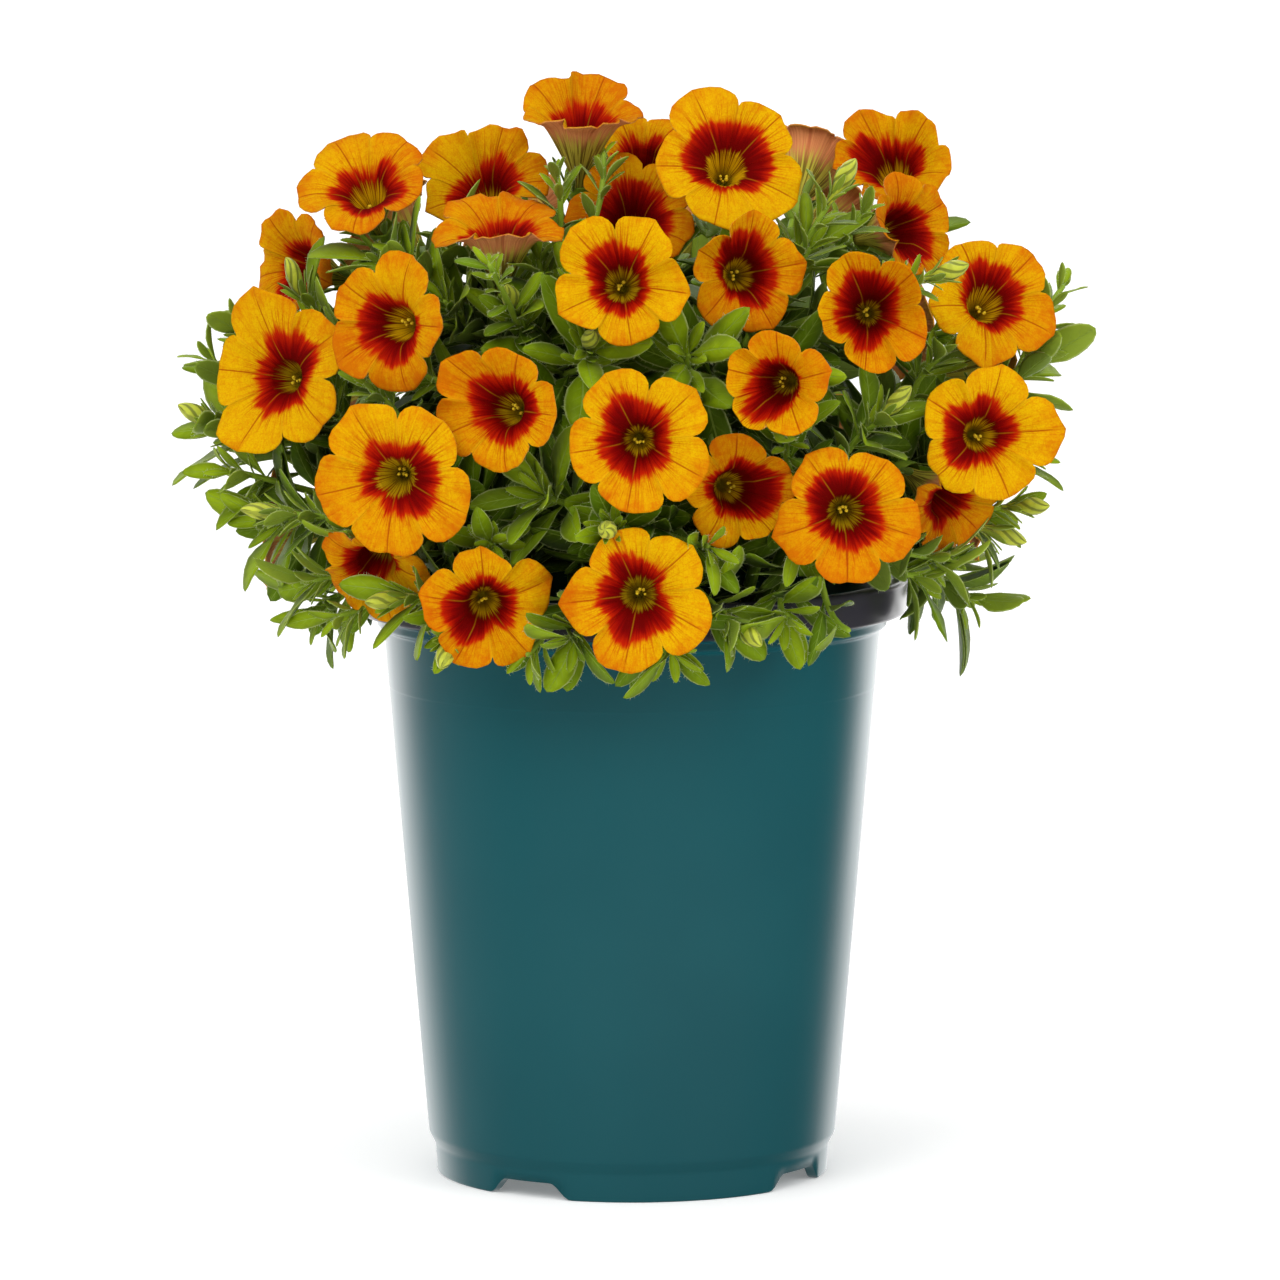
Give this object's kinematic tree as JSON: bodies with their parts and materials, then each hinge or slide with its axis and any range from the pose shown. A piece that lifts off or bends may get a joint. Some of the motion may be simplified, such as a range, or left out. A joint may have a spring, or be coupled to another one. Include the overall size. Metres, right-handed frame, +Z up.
{
  "type": "potted calibrachoa",
  "caption": "Round mound of small-leaved balcony flowers with open trumpet blooms and buds, rooted in soil in a tapered round nursery pot.",
  "frame": {"origin": "on the pot's axis, at the level of the surface that its feet stand on", "axes": "+Z up along the pot's axis, -Y towards the front of the plant, +X to the right seen from the front"},
  "size_m": [0.2007, 0.1735, 0.2405],
  "materials": {
    "pot_plastic": "glossy moulded teal plastic",
    "potting_soil": "dark damp peat, rough",
    "green_shoots": "soft green leaves and stems with fine hairs",
    "petals": "satin yellow-orange petals with a red centre and fine veins"
  },
  "bodies": {
    "root": {"bloom_01": "petals", "bloom_02": "petals", "bloom_03": "petals", "bloom_04": "petals", "bloom_05": "petals", "bloom_06": "petals", "bloom_07": "petals", "bloom_08": "petals", "bloom_09": "petals", "bloom_10": "petals", "bloom_11": "petals", "bloom_12": "petals", "bloom_13": "petals", "bloom_14": "petals", "bloom_15": "petals", "bloom_16": "petals", "bloom_17": "petals", "bloom_18": "petals", "bloom_19": "petals", "bloom_20": "petals", "bloom_21": "petals", "bloom_22": "petals", "bloom_23": "petals", "bloom_24": "petals", "bloom_25": "petals", "bloom_26": "petals", "bloom_27": "petals", "bloom_28": "petals", "bloom_29": "petals", "bloom_30": "petals", "bloom_31": "petals", "bloom_32": "petals", "bloom_33": "petals", "bloom_34": "petals", "bloom_35": "petals", "bloom_36": "petals", "bloom_37": "petals", "bloom_38": "petals", "bloom_39": "petals", "bloom_40": "petals", "bloom_41": "petals", "bloom_42": "petals", "bloom_43": "petals", "leafy_stem_01": "green_shoots", "leafy_stem_02": "green_shoots", "leafy_stem_03": "green_shoots", "leafy_stem_04": "green_shoots", "leafy_stem_05": "green_shoots", "leafy_stem_06": "green_shoots", "leafy_stem_07": "green_shoots", "leafy_stem_08": "green_shoots", "leafy_stem_09": "green_shoots", "leafy_stem_10": "green_shoots", "leafy_stem_11": "green_shoots", "leafy_stem_12": "green_shoots", "leafy_stem_13": "green_shoots", "leafy_stem_14": "green_shoots", "leafy_stem_15": "green_shoots", "pot": "pot_plastic", "soil": "potting_soil"}
  },
  "joints": []
}
